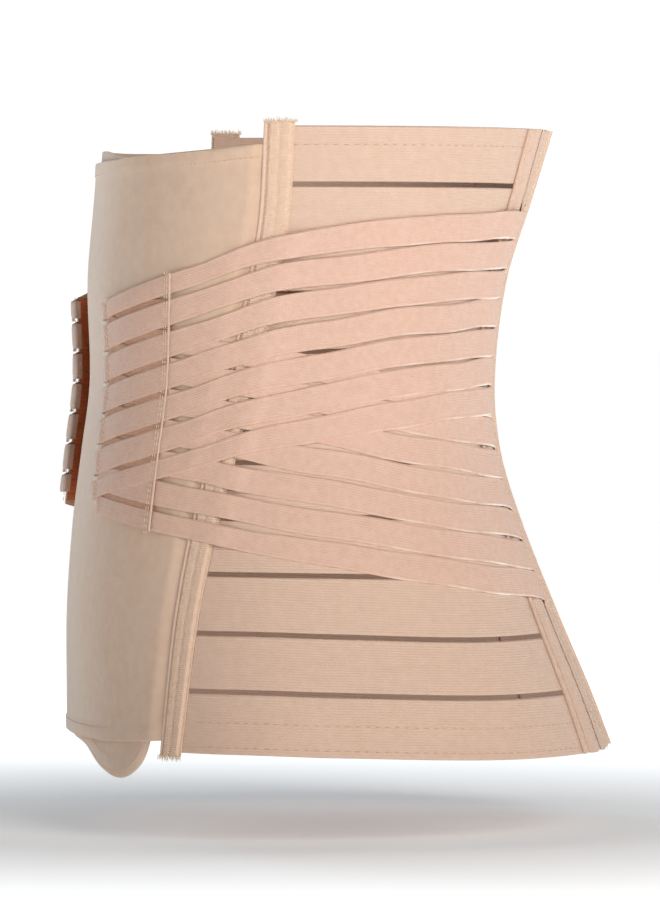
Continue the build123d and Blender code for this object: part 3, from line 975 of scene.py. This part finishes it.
def bindings():
    """Folded binding round the free edges of both flaps."""
    t = np.linspace(0, 1, 160)
    angle = np.full_like(t, LEFT_FLAP_END - 0.4)
    low, high = smooth(OUTER_BOTTOM, LEFT_FLAP_END), smooth(OUTER_TOP, LEFT_FLAP_END)
    height = low + t * (high - low)
    path = spot(angle, height, OUTER_LIFT + PANEL / 2)
    out = spot(angle, height, 0.02) - spot(angle, height, 0)
    out /= np.linalg.norm(out, axis=1, keepdims=True)
    outer = swept("left_flap_binding", path, out, 0.0016, 0.0011, BINDING_CLOTH)
    settle(outer, "edge_binding", "left_edge_binding", body="left_front")

    below = np.linspace(-20, RIGHT_FLAP_END - 0.2, 130)
    rise = np.linspace(smooth(INNER_BOTTOM, RIGHT_FLAP_END), smooth(INNER_TOP, RIGHT_FLAP_END), 150)[1:]
    angle = np.concatenate([below, np.full_like(rise, RIGHT_FLAP_END + 0.2)])
    height = np.concatenate([smooth(INNER_BOTTOM, below) - 0.0002, rise])
    path = evenly(spot(angle, height, PANEL / 2), 0.0015)
    out = path.copy()
    out[:, 2] = 0
    out /= np.linalg.norm(out, axis=1, keepdims=True)
    inner = swept("right_flap_binding", path, out, 0.0021, 0.0010, BINDING_CLOTH)
    settle(inner, "edge_binding", body="right_front")


# ======== strips and tabs ========

def fan_edge(fan, number, angle):
    """Height of the line between two strips: 0 is the fan's top, STRIPS its bottom."""
    spread = np.clip((angle - TAB_FRONT) / FAN_TURN, 0, 1)
    at_tab = min(max((number - 1 + END_STRIP) / (STRIPS - 2 + 2 * END_STRIP), 0), 1)
    share = at_tab + (number / STRIPS - at_tab) * spread
    top, bottom = smooth(fan, angle, 1), smooth(fan, angle, 2)
    return top + (bottom - top) * share


def strip_relief(seed):
    """Cords along a strip, a firm selvedge on both edges, and a slight waviness."""
    rng = random.Random(seed)
    phase = rng.uniform(0, math.tau)

    def relief(along, up, length, tall):
        edge = np.minimum(up, tall - up)
        cords = 0.00005 * np.cos(math.tau * up / 0.0012)
        selvedge = 0.00016 * np.exp(-((edge - 0.0009) / 0.0006) ** 2)
        crown = 0.00022 * np.sin(math.pi * np.clip(up / tall, 0, 1))
        return np.where(edge > 0.0016, cords, 0) + selvedge + crown + 0.00008 * np.sin(55 * along + phase)
    return relief


def strip_edges(fan, number, seed):
    """Lower and upper edge of a strip, a little uneven as pulled elastic is."""
    rng = random.Random(seed)
    sway = [(rng.uniform(0.10, 0.24), rng.uniform(0, math.tau)) for _ in range(2)]

    def wander(angle):
        held = eased((angle - 50) / 12) * eased((157 - angle) / 8)
        return 0.0003 * held * sum(np.sin(a * angle + b) for a, b in sway)

    def low(angle):
        return fan_edge(fan, number + 1, angle) + smooth(STRIP_GAPS, angle) / 2 + wander(angle)

    def high(angle):
        return fan_edge(fan, number, angle) - smooth(STRIP_GAPS, angle) / 2 + wander(angle)
    return low, high


def fan_lift(side_name, step):
    lifts = LEFT_FAN_LIFT if side_name == "left" else RIGHT_FAN_LIFT
    tab_lift = (LEFT_TAB_LIFT if side_name == "left" else RIGHT_TAB_LIFT) + TAB_STRIP_RISE

    def lift(angle, height):
        low = smooth(lifts, angle - side_seam(height)) + smooth(REAR_FAN_LIFT, angle) - REAR_FAN_LIFT[0][1]
        climb = eased((tab_seam(height) + TAB_RAMP - angle) / TAB_RAMP)
        return low + (tab_lift - low) * climb + step
    return lift


def fans(side_name):
    side = SIDES[side_name]
    for fan_name, fan, step in (("lower", LOWER_FAN, 0), ("upper", UPPER_FAN, FAN_STEP)):
        for number in range(STRIPS):
            seed = f"{side_name}{fan_name}{number}"
            low, high = strip_edges(fan, number, seed)
            place = patch(lambda h: tab_seam(h) + 0.1, fixed(FAN_REAR_END), low, high,
                          fan_lift(side_name, step))
            obj = cloth(f"{side_name}_{fan_name}_strip_{number + 1}", side, place, 84, 30, (0.25, 0.0125),
                        STRIP, ELASTIC, strip_relief(seed))
            follow_front(obj, side_name)
            strips = f"{side_name}_{fan_name}_strips"
            settle(obj, "tension_elastic", strips + "_side", strips + "_front",
                   stretch=STRETCH)


def loop_relief(along, up, length, tall):
    """The folded front end of a strip: it doubles its thickness."""
    edge = np.minimum(up, tall - up)
    cords = 0.00005 * np.cos(math.tau * up / 0.0012)
    fold = 0.0003 * eased((LOOP - along) / 0.0012)
    groove = 0.00035 * np.exp(-((along - LOOP - 0.0003) / 0.0006) ** 2)
    return np.where(edge > 0.0012, cords, 0) + fold - groove + 0.00018 * np.sin(math.pi * up / tall)


def tab(side_name):
    side = SIDES[side_name]
    lift = LEFT_TAB_LIFT if side > 0 else RIGHT_TAB_LIFT
    turn = opened(side_name)
    base = patch(fixed(TAB_FRONT + PATCH_TURN), tab_seam, fixed(TAB_BOTTOM), fixed(TAB_TOP),
                 fixed(lift + 0.0001))
    hooks = cloth(side_name + "_hook_patch", side, base, 34, 60, (0.05, 0.097), HOOK_BASE, HOOKS,
                      None, turn)
    settle(hooks, "hook_tape", side_name + "_tab_hooks", stretch=AS_WORN, peels_with=side_name)
    for fan_name, fan, off, start in (("lower", LOWER_FAN, TAB_STRIP_RISE, FOLD_TURN - FOLD_OVERLAP),
                                      ("upper", UPPER_FAN, TAB_STRIP_RISE + FAN_STEP, STRIP_START)):
        for number in range(STRIPS):
            seed = f"{side_name}{fan_name}{number}"
            low, high = strip_edges(fan, number, seed)
            place = patch(fixed(TAB_FRONT + start), lambda h: tab_seam(h) + 0.1, low, high,
                          fixed(lift + off))
            # The lower strips under the upper ones take the browner cloth: painted shade in the gaps.
            hidden = fan_name == "lower" and number < SHADED_STRIPS
            obj = cloth(f"{side_name}_{fan_name}_tab_strip_{number + 1}", side, place, 46, 30,
                        (0.05, 0.0125), STRIP, SHADED_BACKING if hidden else ELASTIC, loop_relief, turn)
            settle(obj, "tension_elastic", f"{side_name}_tab_{fan_name}_strips",
                   stretch=STRETCH, peels_with=side_name)

    # The backing is a real layer; its browner cloth is painted shade where it shows in the gaps.
    base = patch(fixed(TAB_FRONT + BACKING_TURN), tab_seam, fixed(TAB_BOTTOM - 0.001),
                 fixed(TAB_TOP + 0.001), fixed(lift + 0.00045))
    backing = cloth(side_name + "_tab_backing", side, base, 34, 60, (0.05, 0.099), 0.0002, SHADED_BACKING,
                    None, turn)
    settle(backing, "tension_elastic", stretch=AS_WORN, peels_with=side_name)

    rise = between(TAB_SEAM_BOTTOM, TAB_SEAM_TOP)
    path, out = line(lambda t: tab_seam(rise(t)), rise, fixed(lift + 0.0020), side, 90)
    cord = swept(side_name + "_tab_seam_cord", path, out, 0.0006, 0.0003, BINDING_CLOTH)
    settle(cord, "tension_elastic", body=side_name + "_front")

    rows = []
    for degrees in (0.9, 1.7):
        rows.append(line(lambda t, d=degrees: tab_seam(rise(t)) - d, rise, fixed(lift + 0.0022), side))
    rows.append(line(lambda t: TAB_FRONT + 2.9 + 0 * t, between(TAB_BOTTOM, TAB_TOP),
                     fixed(lift + 0.0023), side))
    obj = stitches(side_name + "_tab_stitches", rows, THREAD_PALE, shift=turn)
    settle(obj, "tension_elastic", peels_with=side_name)

    # The folded and rolled ends are real; their paler cloth is a painted highlight along the tab's front
    # edge.
    rolls = []
    for number in range(STRIPS):
        low, high = strip_edges(UPPER_FAN, number, f"{side_name}upper{number}")
        ends = float(low(np.array(TAB_FRONT))), float(high(np.array(TAB_FRONT)))
        path, out = line(lambda t: TAB_FRONT - 0.1 + 0 * t, between(*ends),
                         fixed(lift + 0.0009), side, 8)
        ahead = directions(path)
        across = np.cross(out, ahead)
        turns = np.arange(14) * math.tau / 14
        size = np.array([0.72, 0.95, 1, 1, 1, 1, 0.95, 0.72])[:, None, None]
        rolls.append(path[:, None] + size * (across[:, None] * (0.0016 * np.cos(turns))[None, :, None]
                                             + out[:, None] * (0.0014 * np.sin(turns))[None, :, None]))
        fold = patch(fixed(TAB_FRONT), fixed(TAB_FRONT + FOLD_TURN), fixed(ends[0]), fixed(ends[1]),
                     fixed(lift - 0.0003))
        obj = cloth(f"{side_name}_tab_fold_{number + 1}", side, fold, 8, 14, (0.006, 0.0125), 0.0004,
                    FOLD_HIGHLIGHT_CLOTH, None, turn)
        settle(obj, "tension_elastic", peels_with=side_name)
    rolls = np.array(rolls)
    obj = rings_mesh(side_name + "_tab_rolled_ends", turn(rolls) if turn else rolls, FOLD_HIGHLIGHT_CLOTH)
    settle(obj, "tension_elastic", peels_with=side_name)

    knots = []
    for number in range(1, STRIPS):
        middle = float(fan_edge(UPPER_FAN, number, np.array(TAB_FRONT + 1.6)))
        for step in (-0.0005, 0, 0.0005):
            knots.append(line(lambda t: TAB_FRONT + 0.5 + 1.3 * t, lambda t, m=middle + step: m + 0 * t,
                              fixed(lift + 0.0022), side, 12))
    obj = stitches(side_name + "_tab_bartacks", knots, THREAD_WHITE, pitch=0.0009, length=0.0009,
                   radius=0.00035, shift=turn)
    settle(obj, "tension_elastic", peels_with=side_name)


def small_hooks(name, side, start, end, low, high, lift, shift=None):
    """A field of moulded hooks that stand on the inner side of a patch."""
    heights = np.arange(low, high, HOOK_PITCH)
    pegs = []
    for height in heights:
        first, last = start(height), end(height)
        step = degrees_for(HOOK_PITCH, (first + last) / 2, height)
        angles = np.arange(first, last, step)
        base = spot(angles, np.full_like(angles, height), lift, side)
        down = spot(angles, np.full_like(angles, height), lift - 0.01, side) - base
        down /= np.linalg.norm(down, axis=1, keepdims=True)
        upward = np.tile([0.0, 0.0, 1.0], (len(angles), 1))
        across = np.cross(down, upward)
        rings = []
        for drop, bend, thick in ((0, 0, 0.00026), (0.0004, 0.00005, 0.00016), (0.0006, 0.0004, 0.00012)):
            middle = base + down * drop + upward * bend
            rings.append(np.stack([middle + thick * (c * across + s * upward)
                                   for c, s in ((1, 0), (0, 1), (-1, 0), (0, -1))], axis=1))
        pegs.append(np.stack(rings, axis=1))
    points = np.concatenate(pegs)
    if shift:
        points = shift(points)
    return rings_mesh(name, points, HOOKS)


def hook_fields():
    for side_name, side in SIDES.items():
        lift = LEFT_TAB_LIFT if side > 0 else RIGHT_TAB_LIFT
        obj = small_hooks(side_name + "_tab_small_hooks", side, fixed(TAB_FRONT + HOOKS_TURN),
                          lambda h: tab_seam(h) - 1.0, TAB_BOTTOM + 0.002, TAB_TOP - 0.002, lift + 0.0001,
                          opened(side_name))
        settle(obj, "hook_tape", peels_with=side_name)
    place = patch(fixed(LEFT_FLAP_END + 1), fixed(LEFT_FLAP_END + 10), fixed(CLOSURE_BOTTOM),
                  fixed(CLOSURE_TOP), fixed(PANEL + 0.0007))
    strip = cloth("left_closure_hook_tape", 1, place, 10, 60, (0.015, 0.238), HOOK_BASE, HOOKS)
    settle(strip, "hook_tape", "left_closure_hooks", body="left_front", stretch=AS_WORN)
    obj = small_hooks("left_closure_small_hooks", 1, fixed(LEFT_FLAP_END + 1.6), fixed(LEFT_FLAP_END + 9.6),
                      -0.149, 0.087, PANEL + 0.0007)
    settle(obj, "hook_tape", body="left_front")


def stays():
    """The steel stays keep their CAD shape inside their channels."""
    for name, node in frame["nodes"].items():
        if name.endswith("_stay"):
            node.data.materials.clear()
            node.data.materials.append(STEEL)


# ======== room ========

def room():
    bpy.ops.mesh.primitive_plane_add(size=60, location=(0, 0, FLOOR_HEIGHT))
    floor = bpy.context.object
    floor.name = "floor"
    n = Nodes("floor_paper", 0.9)
    paper = n.noise(3, 2)
    far = n.add("ShaderNodeVectorMath")
    far.operation = "LENGTH"
    place = n.add("ShaderNodeTexCoord")
    n.link(place.outputs["Object"], far.inputs[0])
    # Painted light: the floor glows, less near the object, and the dimmer glow round the object is a painted
    # shadow.
    glow = n.ramp(far.outputs["Value"], *GLOW_START)
    glow.node.inputs[3].default_value, glow.node.inputs[4].default_value = FLOOR_GLOW
    n.set("Emission Color", (1, 1, 1, 1))
    n.link(glow, n.shader.inputs["Emission Strength"])
    white = n.mix(paper, colour(0.93, 0.93, 0.93), colour(0.945, 0.945, 0.945))
    floor.data.materials.append(n.finish(white))
    world = bpy.data.worlds.new("studio")
    bpy.context.scene.world = world
    world.use_nodes = True
    tree = world.node_tree
    direction = tree.nodes.new("ShaderNodeTexCoord")
    parts = tree.nodes.new("ShaderNodeSeparateXYZ")
    tree.links.new(direction.outputs["Generated"], parts.inputs[0])
    above = tree.nodes.new("ShaderNodeMath")
    above.operation = "ABSOLUTE"
    tree.links.new(parts.outputs[2], above.inputs[0])
    fall = tree.nodes.new("ShaderNodeMapRange")
    tree.links.new(above.outputs[0], fall.inputs[0])
    for socket, value in zip(fall.inputs[1:5], (*WORLD_BAND, *WORLD_LIGHT)):
        socket.default_value = value
    background = tree.nodes["Background"]
    tree.links.new(fall.outputs[0], background.inputs[1])
    background.inputs[0].default_value = (1.0, 1.0, 1.0, 1)


def aim(obj, target, azimuth, elevation, distance):
    turn, rise = math.radians(azimuth), math.radians(elevation)
    away = Vector((math.sin(turn) * math.cos(rise), -math.cos(turn) * math.cos(rise), math.sin(rise)))
    obj.location = Vector(target) + away * distance
    obj.rotation_euler = (-away).to_track_quat("-Z", "Y").to_euler()


def lamps():
    for name, azimuth, elevation, distance, size, power, tint in LAMPS:
        data = bpy.data.lights.new(name, "AREA")
        data.size, data.energy, data.color = size, power, tint
        lamp = bpy.data.objects.new(name, data)
        bpy.context.scene.collection.objects.link(lamp)
        aim(lamp, LAMP_TARGET, azimuth, elevation, distance)


def camera():
    data = bpy.data.cameras.new("camera")
    data.lens, data.sensor_width = LENS, SENSOR
    data.clip_end = 100
    obj = bpy.data.objects.new("camera", data)
    bpy.context.scene.collection.objects.link(obj)
    aim(obj, CAMERA_TARGET, CAMERA_AZIMUTH, CAMERA_ELEVATION, CAMERA_DISTANCE)
    bpy.context.scene.camera = obj


camera()
room()
lamps()
for each_side in SIDES:
    bands(each_side)
    rear_panel(each_side)
    back_half(each_side)
    tapes(each_side)
    fans(each_side)
    tab(each_side)
back_tapes()
front_panels()
hem_stitches()
bindings()
hook_fields()
stays()
bpy.context.scene.view_settings.view_transform = "Standard"
